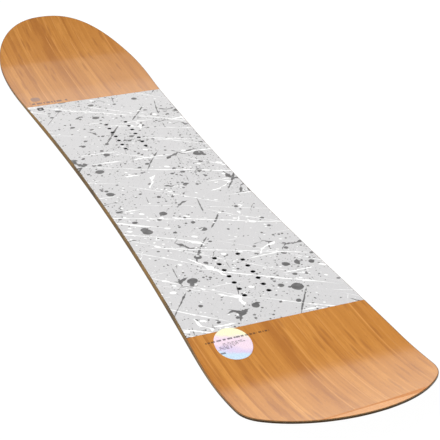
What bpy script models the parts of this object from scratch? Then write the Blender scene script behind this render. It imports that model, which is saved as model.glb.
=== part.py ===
"""Directional snowboard, sold bare, as the layers and pieces that it is pressed from.

The board lies on its base with the nose at +Y, the tail at -Y and the deck up. The origin is
under the middle of its length, on the surface that the base rests on. Every layer is a slab
between two heights above the base surface, and RESIN_GAP stands for the film of resin between
neighbouring pieces.
"""

import math

import bmesh
import bpy
from mathutils import Matrix, Vector

# Plan shape. LENGTH runs from tip to tip, and stations are measured from its middle.
LENGTH = 1.588
TAIL_TIP = -LENGTH / 2
NOSE_TIP = LENGTH / 2
WAIST_WIDTH = 0.2595
WAIST_STATION = -0.0640
SIDECUT_RADIUS = 7.6

# The tail is blunt: each side runs in on a wide arc, turns a corner and meets one arc across
# the end. Headings are measured from straight towards the tail, growing towards the axis.
TAIL_RUN_IN_START = -0.552
TAIL_RUN_IN_RADIUS = 1.310
TAIL_CORNER_HEADING = math.radians(2.9)
TAIL_CORNER_RADIUS = 0.058

# The nose rounds off as a superellipse that starts this far before its tip.
NOSE_END_LENGTH = 0.360
NOSE_FULLNESS_ALONG = 2.2
NOSE_FULLNESS_ACROSS = 2.3
TIP_FLAT_HALF_WIDTH = 0.008

# Side view: flat under both feet, then a long rise and a tighter kick to each tip. These
# distances are measured from the stance centre, which is set back towards the tail.
STANCE_CENTRE = -0.0940
FLAT_HALF_LENGTH = 0.360
RISE_RADIUS = 4.45
TAIL_KICK_START = 0.510
NOSE_KICK_START = 0.696
KICK_RADIUS = 0.700

# Thickness: full between the feet and under the bindings, then tapering to thin ends.
FULL_THICKNESS = 0.0107
TAIL_THICKNESS = 0.0040
NOSE_THICKNESS = 0.0048
TAPER_START = 0.350
TAPER_END = 0.560

# Layers, from the base up.
RESIN_GAP = 0.0003
BASE_THICKNESS = 0.0010
LAMINATE_THICKNESS = 0.0004
TOPSHEET_THICKNESS = 0.0004
EDGE_WIDTH = 0.0020
EDGE_HEIGHT = BASE_THICKNESS + RESIN_GAP + LAMINATE_THICKNESS
CORE_FLOOR = EDGE_HEIGHT + RESIN_GAP
CORE_CEILING_DEPTH = TOPSHEET_THICKNESS + LAMINATE_THICKNESS + 2 * RESIN_GAP

# Core, sidewalls and tip spacers.
CORE_TAIL_END = STANCE_CENTRE - TAPER_END
CORE_NOSE_END = STANCE_CENTRE + TAPER_END + 0.040
SIDEWALL_WIDTH = 0.008
MIDDLE_STRIP_WIDTH = 0.016
STRIP_WIDTH = 0.024
STRIPS_PER_SIDE = 5

# Printed centre panel of the top sheet, between the two wood veneer ends.
NOSE_SEAM = 0.3940
TAIL_SEAM = -0.5120

# Threaded inserts for the bindings: two packs of two rows, a standard grid.
STANCE_WIDTH = 0.566
INSERT_PITCH = 0.020
INSERTS_PER_ROW = 7
ROW_OFFSET = 0.020
BARREL_RADIUS = 0.0042
FLANGE_RADIUS = 0.0070
FLANGE_THICKNESS = 0.0010
BORE_RADIUS = 0.0027
BORE_CHAMFER = 0.0004
INSERT_BOTTOM = CORE_FLOOR
INSERT_TOP = FULL_THICKNESS - TOPSHEET_THICKNESS - RESIN_GAP
BORE_BOTTOM = INSERT_BOTTOM + 0.0014
DECK_HOLE_RADIUS = 0.0040
INSERT_SIDES = 10

# Oval sticker on the tail veneer, just over the seam.
STICKER_CENTRE = Vector((-0.0850, -0.5475))
STICKER_HALF_LENGTH = 0.0390
STICKER_HALF_WIDTH = 0.0270
STICKER_ROUNDNESS = 2.05
STICKER_THICKNESS = 0.0003
STICKER_TURN = math.radians(-9)
STICKER_POINTS = 28

# Curved stretches are split finely enough for chords to stay this close to the true line.
PLAN_TOLERANCE = 0.00008
ARC_STEPS = 120
HEIGHT_TOLERANCE = 0.00003
MERGE_DISTANCE = 0.00001
SHARP_ANGLE = math.radians(30)

parts = None
cutters = None


def clear_scene():
    for old in list(bpy.data.objects):
        bpy.data.objects.remove(old, do_unlink=True)


def new_collection(name):
    collection = bpy.data.collections.new(name)
    bpy.context.scene.collection.children.link(collection)
    return collection


def make_material(name, colour, roughness, metallic=0.0):
    material = bpy.data.materials.new(name)
    material.use_nodes = True
    shader = material.node_tree.nodes["Principled BSDF"]
    shader.inputs["Base Color"].default_value = (*colour, 1.0)
    shader.inputs["Roughness"].default_value = roughness
    shader.inputs["Metallic"].default_value = metallic
    material.diffuse_color = (*colour, 1.0)
    return material


# Profiles along the board ------------------------------------------------------------------


def rise_height(distance, kick_start):
    """Height of the base at a distance from the stance centre: rise arc, then kick arc."""
    along_rise = min(max(distance - FLAT_HALF_LENGTH, 0.0), kick_start - FLAT_HALF_LENGTH)
    along_kick = max(distance - kick_start, 0.0)
    slope_in = along_rise / RISE_RADIUS
    slope_out = slope_in + along_kick / KICK_RADIUS
    rise = RISE_RADIUS * (1 - math.sqrt(1 - slope_in**2))
    kick = KICK_RADIUS * (math.sqrt(1 - slope_in**2) - math.sqrt(1 - slope_out**2))
    return rise + kick


def base_height(y):
    if y > STANCE_CENTRE:
        return rise_height(y - STANCE_CENTRE, NOSE_KICK_START)
    return rise_height(STANCE_CENTRE - y, TAIL_KICK_START)


def thickness(y):
    end_thickness = NOSE_THICKNESS if y > STANCE_CENTRE else TAIL_THICKNESS
    share = (abs(y - STANCE_CENTRE) - TAPER_START) / (TAPER_END - TAPER_START)
    share = min(max(share, 0.0), 1.0)
    blend = share * share * (3 - 2 * share)
    return FULL_THICKNESS + (end_thickness - FULL_THICKNESS) * blend


def above_base(level):
    return lambda y: base_height(y) + level


def below_deck(depth):
    return lambda y: base_height(y) + thickness(y) - depth


# Plan outline ------------------------------------------------------------------------------


def sidecut_half_width(y):
    return WAIST_WIDTH / 2 + (y - WAIST_STATION) ** 2 / (2 * SIDECUT_RADIUS)


def arc_points(start, radius, first_heading, last_heading):
    """Dense points of an arc in plan, from start on, that turns from heading to heading."""
    points = []
    for step in range(1, ARC_STEPS + 1):
        heading = first_heading + (last_heading - first_heading) * step / ARC_STEPS
        x = start.x + radius * (math.cos(heading) - math.cos(first_heading))
        y = start.y - radius * (math.sin(heading) - math.sin(first_heading))
        points.append(Vector((x, y)))
    return points


def tail_arcs(corner_end):
    """The tail outline up to its small tip flat, when the corner turns to this heading."""
    side = Vector((sidecut_half_width(TAIL_RUN_IN_START), TAIL_RUN_IN_START))
    side_heading = math.atan((TAIL_RUN_IN_START - WAIST_STATION) / SIDECUT_RADIUS)
    run_in = arc_points(side, TAIL_RUN_IN_RADIUS, side_heading, TAIL_CORNER_HEADING)
    corner = arc_points(run_in[-1], TAIL_CORNER_RADIUS, TAIL_CORNER_HEADING, corner_end)
    tail_radius = corner[-1].x / math.cos(corner_end)
    tip_heading = math.acos(TIP_FLAT_HALF_WIDTH / tail_radius)
    tail = arc_points(corner[-1], tail_radius, corner_end, tip_heading)
    return [side, *run_in, *corner, *tail]


def tail_outline():
    """Dense plan points of the tail: the more its corners turn, the flatter and shorter it is."""
    low = math.radians(20)
    high = math.radians(80)
    for _ in range(50):
        middle = (low + high) / 2
        if tail_arcs(middle)[-1].y < TAIL_TIP:
            low = middle
        else:
            high = middle
    return tail_arcs(high)


def nose_outline():
    """Dense plan points of the nose, from where it starts to its small tip flat."""
    along = NOSE_FULLNESS_ALONG
    across = NOSE_FULLNESS_ACROSS
    tip_share = TIP_FLAT_HALF_WIDTH / sidecut_half_width(NOSE_TIP)
    last_angle = math.acos(tip_share ** (across / 2))
    reach = math.sin(last_angle) ** (2 / along)
    even = [reach * step / 120 for step in range(108)]
    first_turned = math.asin(even[-1] ** (along / 2))
    turned = [first_turned + (last_angle - first_turned) * step / 160 for step in range(1, 161)]
    shares = even + [math.sin(angle) ** (2 / along) for angle in turned]
    points = []
    for share in shares:
        y = NOSE_TIP - NOSE_END_LENGTH + NOSE_END_LENGTH * share / reach
        x = sidecut_half_width(y) * (1 - share**along) ** (1 / across)
        points.append(Vector((x, y)))
    return points


def thin_out(points, tolerance):
    """Indices of the fewest points whose chords stay within tolerance of all the others."""
    kept = [0]
    while kept[-1] < len(points) - 1:
        start = kept[-1]
        end = start + 1
        while end + 1 < len(points):
            chord = points[end + 1] - points[start]
            skipped = points[start + 1 : end + 1]
            strays = [(point - points[start]).cross(chord).length for point in skipped]
            if max(strays) > tolerance * chord.length:
                break
            end += 1
        kept.append(end)
    return kept


def trace_outline():
    """Right half of the plan outline from tail to nose, as points with outward normals."""
    tail = tail_outline()
    nose = nose_outline()
    side_start = tail[0].y
    side_end = nose[0].y
    side = []
    for step in range(1, 200):
        y = side_start + (side_end - side_start) * step / 200
        side.append(Vector((sidecut_half_width(y), y)))
    dense = tail[::-1] + side + nose
    on_deck = [Vector((p.x, p.y, below_deck(0.0)(p.y))) for p in dense]
    outline = []
    for index in thin_out(on_deck, PLAN_TOLERANCE):
        before = dense[max(index - 1, 0)]
        after = dense[min(index + 1, len(dense) - 1)]
        along = (after - before).normalized()
        outline.append((dense[index], Vector((along.y, -along.x))))
    return outline


def inset_outline(outline, distance):
    return [point - normal * distance for point, normal in outline]


def half_width_at(points, y):
    """Half width at a station, read along the straight chords between outline points."""
    for first, second in zip(points, points[1:]):
        if first.y <= y <= second.y:
            share = (y - first.y) / (second.y - first.y)
            return first.x + (second.x - first.x) * share
    return points[0].x if y < points[0].y else points[-1].x


# Building slabs ----------------------------------------------------------------------------


def slab(name, rows, lower, upper, material):
    """A closed slab over rows of (left, right) plan points, between two height functions."""
    mesh_data = bmesh.new()
    bmesh.ops.create_grid(mesh_data, x_segments=1, y_segments=len(rows) - 1, size=1.0)
    columns = sorted(mesh_data.verts, key=lambda vert: (round(vert.co.y, 5), vert.co.x))
    for index, (left, right) in enumerate(rows):
        columns[2 * index].co = Vector((left.x, left.y, lower(left.y)))
        columns[2 * index + 1].co = Vector((right.x, right.y, lower(right.y)))
    extruded = bmesh.ops.extrude_face_region(mesh_data, geom=list(mesh_data.faces))
    raised = [item for item in extruded["geom"] if isinstance(item, bmesh.types.BMVert)]
    for vert in raised:
        vert.co.z = upper(vert.co.y)
    bmesh.ops.recalc_face_normals(mesh_data, faces=list(mesh_data.faces))
    mesh = bpy.data.meshes.new(name)
    mesh_data.to_mesh(mesh)
    mesh_data.free()
    mesh.shade_smooth()
    mesh.set_sharp_from_angle(angle=SHARP_ANGLE)
    mesh.materials.append(material)
    piece = bpy.data.objects.new(name, mesh)
    parts.objects.link(piece)
    return piece


def across_rows(points, start, end):
    """Rows from the left outline to the right one, between two stations."""
    stations = [point.y for point in points if start < point.y < end]
    rows = []
    for y in [max(start, points[0].y), *stations, min(end, points[-1].y)]:
        half_width = half_width_at(points, y)
        rows.append((Vector((-half_width, y)), Vector((half_width, y))))
    return rows


def strip_rows(left_at, right_at, start, end):
    """Rows of a narrow strip whose sides are functions of the station."""
    dense = [start + (end - start) * step / 300 for step in range(301)]
    profile = [Vector((right_at(y), y, below_deck(0.0)(y))) for y in dense]
    kept = thin_out(profile, HEIGHT_TOLERANCE)
    stations = [dense[index] for index in kept]
    return [(Vector((left_at(y), y)), Vector((right_at(y), y))) for y in stations]


def mirrored_rows(rows):
    return [(Vector((-right.x, right.y)), Vector((-left.x, left.y))) for left, right in rows]


# Holes -------------------------------------------------------------------------------------


def insert_places():
    """Plan positions of the inserts, pack by pack and row by row, tail end first."""
    places = []
    for pack, side in (("rear", -1), ("front", 1)):
        for row, x in (("left", -ROW_OFFSET), ("right", ROW_OFFSET)):
            for number in range(INSERTS_PER_ROW):
                step = number - (INSERTS_PER_ROW - 1) / 2
                y = STANCE_CENTRE + side * STANCE_WIDTH / 2 + step * INSERT_PITCH
                places.append((f"insert_{pack}_{row}_{number + 1}", x, y))
    return places


def hole_cutter(name, radius, bottom, top, places):
    """One hidden cutter holding a cylinder at each place, with its flats at the radius."""
    mesh_data = bmesh.new()
    corner_radius = radius / math.cos(math.pi / INSERT_SIDES)
    for _, x, y in places:
        made = bmesh.ops.create_cone(
            mesh_data,
            cap_ends=True,
            segments=INSERT_SIDES,
            radius1=corner_radius,
            radius2=corner_radius,
            depth=top - bottom,
        )
        bmesh.ops.translate(mesh_data, verts=made["verts"], vec=(x, y, (top + bottom) / 2))
    mesh = bpy.data.meshes.new(name)
    mesh_data.to_mesh(mesh)
    mesh_data.free()
    cutter = bpy.data.objects.new(name, mesh)
    cutter.hide_render = True
    cutter.display_type = "WIRE"
    cutters.objects.link(cutter)
    return cutter


def cut(piece, cutter):
    boolean = piece.modifiers.new(cutter.name, "BOOLEAN")
    boolean.operation = "DIFFERENCE"
    boolean.solver = "EXACT"
    boolean.object = cutter


# The pieces --------------------------------------------------------------------------------


def build_base(outline, base_material, steel_material):
    inner = inset_outline(outline, EDGE_WIDTH + RESIN_GAP)
    rows = across_rows(inner, inner[0].y, inner[-1].y)
    slab("base_sheet", rows, above_base(0.0), above_base(BASE_THICKNESS), base_material)

    rim = [point for point, _ in outline]
    bar = inset_outline(outline, EDGE_WIDTH)
    middle = RESIN_GAP / 2
    rim = [Vector((middle, rim[0].y)), *rim, Vector((middle, rim[-1].y))]
    bar = [Vector((middle, bar[0].y)), *bar, Vector((middle, bar[-1].y))]
    right_rows = list(zip(bar, rim))
    for name, rows in (("edge_right", right_rows), ("edge_left", mirrored_rows(right_rows))):
        slab(name, rows, above_base(0.0), above_base(EDGE_HEIGHT), steel_material)


def build_laminates(outline, material, insert_cutter):
    inner = inset_outline(outline, EDGE_WIDTH + RESIN_GAP)
    rows = across_rows(inner, inner[0].y, inner[-1].y)
    lower = above_base(BASE_THICKNESS + RESIN_GAP)
    slab("lower_laminate", rows, lower, above_base(EDGE_HEIGHT), material)

    rim = [point for point, _ in outline]
    rows = across_rows(rim, rim[0].y, rim[-1].y)
    top_depth = TOPSHEET_THICKNESS + RESIN_GAP
    bottom = below_deck(top_depth + LAMINATE_THICKNESS)
    upper_laminate = slab("upper_laminate", rows, bottom, below_deck(top_depth), material)
    cut(upper_laminate, insert_cutter)


def build_core(outline, light_wood, dark_wood, insert_cutter, flange_cutter):
    """Glued wood strips side by side; the two that hold the inserts are cut for them."""
    side_line = [point for point, _ in outline]

    def core_half_width(y):
        return half_width_at(side_line, y) - SIDEWALL_WIDTH - RESIN_GAP

    def add_strip(name, rows, material):
        return slab(name, rows, above_base(CORE_FLOOR), below_deck(CORE_CEILING_DEPTH), material)

    middle = MIDDLE_STRIP_WIDTH / 2
    rows = strip_rows(lambda y: -middle, lambda y: middle, CORE_TAIL_END, CORE_NOSE_END)
    add_strip("core_strip_middle", rows, light_wood)
    for number in range(STRIPS_PER_SIDE):
        inner = middle + RESIN_GAP + number * STRIP_WIDTH
        outer = inner + STRIP_WIDTH - RESIN_GAP
        outer_at = (lambda y, x=outer: x) if number < STRIPS_PER_SIDE - 1 else core_half_width
        rows = strip_rows(lambda y, x=inner: x, outer_at, CORE_TAIL_END, CORE_NOSE_END)
        wood = light_wood if number % 2 else dark_wood
        for side, side_rows in (("right", rows), ("left", mirrored_rows(rows))):
            strip = add_strip(f"core_strip_{side}_{number + 1}", side_rows, wood)
            if inner < ROW_OFFSET < outer:
                cut(strip, insert_cutter)
                cut(strip, flange_cutter)


def build_sidewalls_and_spacers(outline, wall_material, spacer_material):
    side_line = [point for point, _ in outline]
    floor = above_base(CORE_FLOOR)
    ceiling = below_deck(CORE_CEILING_DEPTH)

    def wall_outside(y):
        return half_width_at(side_line, y)

    def wall_inside(y):
        return half_width_at(side_line, y) - SIDEWALL_WIDTH

    rows = strip_rows(wall_inside, wall_outside, CORE_TAIL_END, CORE_NOSE_END)
    slab("sidewall_right", rows, floor, ceiling, wall_material)
    slab("sidewall_left", mirrored_rows(rows), floor, ceiling, wall_material)

    tail_rows = across_rows(side_line, side_line[0].y, CORE_TAIL_END - RESIN_GAP)
    nose_rows = across_rows(side_line, CORE_NOSE_END + RESIN_GAP, side_line[-1].y)
    slab("tip_spacer_tail", tail_rows, floor, ceiling, spacer_material)
    slab("tip_spacer_nose", nose_rows, floor, ceiling, spacer_material)


def build_topsheet(outline, veneer_material, panel_material, deck_cutter):
    rim = [point for point, _ in outline]
    bottom = below_deck(TOPSHEET_THICKNESS)
    deck = below_deck(0.0)
    nose_rows = across_rows(rim, NOSE_SEAM + RESIN_GAP, rim[-1].y)
    panel_rows = across_rows(rim, TAIL_SEAM, NOSE_SEAM)
    tail_rows = across_rows(rim, rim[0].y, TAIL_SEAM - RESIN_GAP)
    slab("topsheet_nose_veneer", nose_rows, bottom, deck, veneer_material)
    slab("topsheet_tail_veneer", tail_rows, bottom, deck, veneer_material)
    panel = slab("topsheet_centre_panel", panel_rows, bottom, deck, panel_material)
    cut(panel, deck_cutter)


def build_inserts(material):
    """Flanged sleeves with a blind bore, turned once and shared by every place."""
    profile = [
        (0.0, BORE_BOTTOM),
        (BORE_RADIUS, BORE_BOTTOM),
        (BORE_RADIUS, INSERT_TOP - BORE_CHAMFER),
        (BORE_RADIUS + BORE_CHAMFER, INSERT_TOP),
        (BARREL_RADIUS, INSERT_TOP),
        (BARREL_RADIUS, INSERT_BOTTOM + FLANGE_THICKNESS),
        (FLANGE_RADIUS, INSERT_BOTTOM + FLANGE_THICKNESS),
        (FLANGE_RADIUS, INSERT_BOTTOM),
        (0.0, INSERT_BOTTOM),
    ]
    mesh = bpy.data.meshes.new("insert")
    vertices = [(radius, 0.0, height) for radius, height in profile]
    mesh.from_pydata(vertices, [(i, i + 1) for i in range(len(profile) - 1)], [])
    mesh.materials.append(material)
    for name, x, y in insert_places():
        insert = bpy.data.objects.new(name, mesh)
        insert.location = (x, y, 0.0)
        turn = insert.modifiers.new("turn", "SCREW")
        turn.steps = INSERT_SIDES
        turn.render_steps = INSERT_SIDES
        turn.use_merge_vertices = True
        turn.merge_threshold = MERGE_DISTANCE
        turn.use_smooth_shade = True
        parts.objects.link(insert)


def build_sticker(material):
    """A thin die-cut disc, rounder than an ellipse, lying on the tail veneer."""
    curve = bpy.data.curves.new("sticker", "CURVE")
    curve.dimensions = "2D"
    curve.fill_mode = "BOTH"
    curve.extrude = STICKER_THICKNESS / 2
    spline = curve.splines.new("POLY")
    spline.points.add(STICKER_POINTS - 1)
    spline.use_cyclic_u = True
    for index, point in enumerate(spline.points):
        angle = 2 * math.pi * index / STICKER_POINTS
        across = math.copysign(abs(math.cos(angle)) ** (2 / STICKER_ROUNDNESS), math.cos(angle))
        along = math.copysign(abs(math.sin(angle)) ** (2 / STICKER_ROUNDNESS), math.sin(angle))
        point.co = (STICKER_HALF_WIDTH * across, STICKER_HALF_LENGTH * along, 0.0, 1.0)
    curve.materials.append(material)
    sticker = bpy.data.objects.new("sticker", curve)
    deck = below_deck(0.0)
    y = STICKER_CENTRE.y
    climb = deck(y + STICKER_HALF_LENGTH) - deck(y - STICKER_HALF_LENGTH)
    slope = math.atan2(climb, 2 * STICKER_HALF_LENGTH)
    lift = RESIN_GAP + STICKER_THICKNESS / 2
    sticker.location = (STICKER_CENTRE.x, y, deck(y) + lift)
    tilt = Matrix.Rotation(slope, 3, "X")
    turn = Matrix.Rotation(STICKER_TURN, 3, "Z")
    sticker.rotation_euler = (tilt @ turn).to_euler()
    parts.objects.link(sticker)


def build_snowboard():
    maple = make_material("veneer_wood", (0.52, 0.26, 0.09), 0.35)
    panel_print = make_material("panel_print", (0.71, 0.71, 0.72), 0.35)
    steel = make_material("edge_steel", (0.42, 0.42, 0.43), 0.32, 1.0)
    insert_steel = make_material("insert_steel", (0.09, 0.09, 0.10), 0.45, 0.9)
    base_plastic = make_material("base_plastic", (0.02, 0.02, 0.022), 0.4)
    glass = make_material("glass_laminate", (0.30, 0.28, 0.16), 0.4)
    poplar = make_material("core_light_wood", (0.66, 0.49, 0.30), 0.6)
    beech = make_material("core_dark_wood", (0.45, 0.29, 0.15), 0.6)
    sidewall_plastic = make_material("sidewall_plastic", (0.18, 0.12, 0.045), 0.5)
    spacer_plastic = make_material("spacer_plastic", (0.05, 0.045, 0.04), 0.5)
    sticker_film = make_material("sticker_film", (0.80, 0.70, 0.82), 0.25)

    outline = trace_outline()
    places = insert_places()
    through_bottom = CORE_FLOOR - 0.001
    through_top = FULL_THICKNESS + 0.001
    barrel_hole = BARREL_RADIUS + RESIN_GAP
    flange_hole = FLANGE_RADIUS + RESIN_GAP
    flange_top = INSERT_BOTTOM + FLANGE_THICKNESS + RESIN_GAP
    insert_cutter = hole_cutter("cut_insert_holes", barrel_hole, through_bottom, through_top, places)
    flange_cutter = hole_cutter("cut_flange_seats", flange_hole, through_bottom, flange_top, places)
    deck_cutter = hole_cutter("cut_deck_holes", DECK_HOLE_RADIUS, INSERT_TOP, through_top, places)

    build_base(outline, base_plastic, steel)
    build_laminates(outline, glass, insert_cutter)
    build_core(outline, poplar, beech, insert_cutter, flange_cutter)
    build_sidewalls_and_spacers(outline, sidewall_plastic, spacer_plastic)
    build_topsheet(outline, maple, panel_print, deck_cutter)
    build_inserts(insert_steel)
    build_sticker(sticker_film)


clear_scene()
parts = new_collection("snowboard")
cutters = new_collection("cutters")
build_snowboard()
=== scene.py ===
"""The looks of a directional snowboard: wood veneer ends and a splashed centre panel.

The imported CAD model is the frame. Each of its layers that can be seen is replaced by a finer
one, which follows the outline and the heights that are read back from the CAD meshes. Layers
that lie inside keep their CAD shape and only get a material.
"""

import math

import bmesh
import bpy
import numpy as np
from mathutils import Matrix, Vector


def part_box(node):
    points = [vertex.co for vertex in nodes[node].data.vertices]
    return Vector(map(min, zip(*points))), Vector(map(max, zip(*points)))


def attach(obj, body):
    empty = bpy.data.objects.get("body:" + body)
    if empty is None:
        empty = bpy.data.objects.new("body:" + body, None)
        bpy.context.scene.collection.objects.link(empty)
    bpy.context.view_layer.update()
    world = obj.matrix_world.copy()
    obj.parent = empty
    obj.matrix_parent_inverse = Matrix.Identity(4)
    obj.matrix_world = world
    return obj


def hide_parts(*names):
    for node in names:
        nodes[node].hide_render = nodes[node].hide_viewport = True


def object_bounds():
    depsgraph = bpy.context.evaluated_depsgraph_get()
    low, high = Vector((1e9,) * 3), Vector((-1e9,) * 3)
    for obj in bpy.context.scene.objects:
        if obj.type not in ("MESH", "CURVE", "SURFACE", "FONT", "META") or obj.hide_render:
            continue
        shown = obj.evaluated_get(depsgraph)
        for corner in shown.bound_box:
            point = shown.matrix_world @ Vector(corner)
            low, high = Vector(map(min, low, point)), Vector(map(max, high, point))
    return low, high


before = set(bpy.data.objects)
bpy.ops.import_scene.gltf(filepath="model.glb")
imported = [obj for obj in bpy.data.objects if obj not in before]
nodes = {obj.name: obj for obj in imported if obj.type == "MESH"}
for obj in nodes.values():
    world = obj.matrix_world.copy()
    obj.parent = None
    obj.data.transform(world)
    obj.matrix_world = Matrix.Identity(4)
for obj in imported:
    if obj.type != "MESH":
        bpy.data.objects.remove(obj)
cad_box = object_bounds()

MM = 0.001

# How finely the outline is read and drawn.
STEP_ALONG = 9 * MM
STEPS_AT_MOST = 9
READING_SPACING = 2 * MM
STATION_GAP = 0.1 * MM
FINE_STATIONS = 1600
PACK_MARGIN = 10 * MM
NEARLY_STRAIGHT = 0.999
SHARP_ANGLE = math.radians(50)

# The CAD leaves a film of resin between its layers. The refined layers grow into it, all but a
# hairline, so that no light shows through the board.
FILM = 0.30 * MM
HAIRLINE = 0.04 * MM
GROWTH = FILM - HAIRLINE

# The layers, with heights above the sole and depths below the deck.
TOPSHEET_THICKNESS = 0.4 * MM
CORE_CEILING_DEPTH = 1.4 * MM
CORE_FLOOR = 2.0 * MM
CORE_ROUNDING = 0.05 * MM
SIDEWALL_WIDTH = 8 * MM
EDGE_HEIGHT = 1.7 * MM
EDGE_WIDTH = 2.0 * MM
EDGE_ROUNDING = 0.25 * MM
HALF_EDGE_JOINT = 0.15 * MM
BASE_THICKNESS = 1.0 * MM
BASE_ROUNDING = 0.1 * MM
DECK_ROUNDING = 0.35 * MM
SEALED_BORDER = 1.2 * MM
SIDEWALL_BEVEL = 1.1 * MM
ROUNDING_STEPS = 3
STICKER_THICKNESS = 0.3 * MM

# Binding inserts with a coarse M6 thread, and the holes over them.
INSERT_PITCH = 20 * MM
HOLE_SIDES = 32
HOLE_RADIUS = 4.0 * MM
HOLE_ROUNDING = 0.15 * MM
BARREL_RADIUS = 4.2 * MM
BARREL_ROUNDING = 0.15 * MM
BARREL_FILLET = 0.1 * MM
FLANGE_THICKNESS = 1.0 * MM
FLANGE_ROUNDING = 0.2 * MM
BORE_RADIUS = 2.7 * MM
BORE_CHAMFER = 0.4 * MM
BORE_FLOOR = 1.4 * MM
THREAD_PITCH = 1.0 * MM
THREAD_DEPTH = 0.30 * MM
ROWS_PER_TURN = 6

# The camera stands before the tail, to the left of the board, and looks down on it.
CAMERA_PLACE = Vector((-0.65129, -1.85320, 0.96200))
CAMERA_AIM = Vector((0.33949, 0.81514, -0.46936))
CAMERA_RIGHT = Vector((0.92510, -0.37960, 0.00986))
CAMERA_LENS = 98.85
CAMERA_SENSOR = 36.0

# Studio light: bright walls up to a ceiling that starts lower to the right, a wide lamp and a
# softly lit floor.
FLOOR_REACH = 40.0
WALL_LEAN = (0.33, 0.0, 1.0)
WALL_FADE = (0.505, 0.592)
WALL_LIGHT = 1.08
WALL_COLOUR = (1.0, 0.97, 0.93, 1.0)
CEILING_LIGHT = 0.12
LAMP_SIDE = Vector((-0.50, 0.65, 1.0))
LAMP_STRENGTH = 3.13
LAMP_WIDTH = math.radians(40)
FLOOR_GLOW = 0.985


# Curves read back from the frame ------------------------------------------------------------


def smooth_read(places, values, at):
    """Reads a smooth curve through the values, given at growing places, at other places."""
    slopes = np.gradient(values, places, axis=0)
    span = np.clip(np.searchsorted(places, at, side="right") - 1, 0, len(places) - 2)
    width = places[span + 1] - places[span]
    share = (at - places[span]) / width
    if values.ndim > 1:
        share = share[:, None]
        width = width[:, None]
    start = 2 * share**3 - 3 * share**2 + 1
    leave = (share**3 - 2 * share**2 + share) * width
    arrive = (share**3 - share**2) * width
    ahead = (1 - start) * values[span + 1] + arrive * slopes[span + 1]
    return start * values[span] + leave * slopes[span] + ahead


def thin_out(points, spacing):
    """Drops each point that is closer than spacing to the one before it, but not the last."""
    kept = [points[0]]
    for point in points[1:-1]:
        if np.hypot(*(point - kept[-1])) > spacing:
            kept.append(point)
    if np.hypot(*(points[-1] - kept[-1])) < spacing:
        kept.pop()
    return np.array([*kept, points[-1]])


def insert_names():
    return sorted(name for name in nodes if name.startswith("insert_"))


def insert_centres():
    corners = [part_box(name) for name in insert_names()]
    return [(low + high) / 2 for low, high in corners]


def read_rim(names, across, pick):
    """Points (station, picked value) along some layers, from their vertices outside the packs.

    across tells which vertices of one station count: the outermost, highest or lowest one.
    """
    reach_x = max(abs(centre.x) for centre in insert_centres()) + PACK_MARGIN
    reach_y = max(abs(centre.y) for centre in insert_centres()) + PACK_MARGIN
    found = {}
    for name in names:
        for vertex in nodes[name].data.vertices:
            if abs(vertex.co.x) > reach_x or abs(vertex.co.y) > reach_y:
                found.setdefault(round(vertex.co.y, 5), []).append(pick(vertex.co))
    return np.array([(y, across(found[y])) for y in sorted(found)])


TOPSHEETS = ["topsheet_tail_veneer", "topsheet_centre_panel", "topsheet_nose_veneer"]
deck_rim = read_rim(TOPSHEETS, max, lambda co: co.x)
deck_line = thin_out(read_rim(TOPSHEETS, max, lambda co: co.z), READING_SPACING)
base_line = thin_out(read_rim(["edge_right"], min, lambda co: co.z), READING_SPACING)
fine = np.linspace(deck_rim[0][0], deck_rim[-1][0], FINE_STATIONS)
fine_deck = smooth_read(deck_line[:, 0], deck_line[:, 1], fine)
fine_base = smooth_read(base_line[:, 0], base_line[:, 1], fine)


def below_deck(depth):
    return lambda y: float(np.interp(y, fine, fine_deck)) - depth


def above_base(level):
    return lambda y: float(np.interp(y, fine, fine_base)) + level


def trace_right_side():
    """The right half of the outline as plan points from tail to nose, on the axis at both.

    Three points of the left half join it at each end, so that the curve is smooth over the tips.
    """
    right = thin_out(deck_rim[:, ::-1], MM)
    left = right * (-1, 1)
    loop = np.vstack([left[2::-1], right, left[:-4:-1]])
    steps = np.linalg.norm(np.diff(loop, axis=0), axis=1)
    travelled = np.concatenate([[0], np.cumsum(steps)])
    tips = [(travelled[2] + travelled[3]) / 2, (travelled[-4] + travelled[-3]) / 2]
    wanted = [tips[0]]
    for first, second in zip(travelled[3:-4], travelled[4:-3]):
        pieces = min(math.ceil((second - first) / STEP_ALONG), STEPS_AT_MOST)
        wanted += [first + (second - first) * step / pieces for step in range(pieces)]
    wanted += [travelled[-4], tips[1]]
    return [Vector(point) for point in smooth_read(travelled, loop, np.array(wanted))]


right_side = trace_right_side()
side_stations = [point.y for point in right_side]


def half_width(y):
    return float(np.interp(y, side_stations, [point.x for point in right_side]))


def side_between(start, end):
    """Points of the right side between two stations, with one at each of them."""
    inside = [y for y in side_stations if start + STATION_GAP < y < end - STATION_GAP]
    return [Vector((half_width(y), y)) for y in (start, *inside, end)]


def mirrored(points):
    return [Vector((-point.x, point.y)) for point in points]


def move_in(points, distance):
    """Points of the right side, moved inwards square to the outline."""
    moved = []
    for index, point in enumerate(points):
        before = points[max(index - 1, 0)]
        after = points[min(index + 1, len(points) - 1)]
        along = (after - before).normalized()
        moved.append(point - Vector((along.y, -along.x)) * distance)
    return moved


# Meshes --------------------------------------------------------------------------------------


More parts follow.
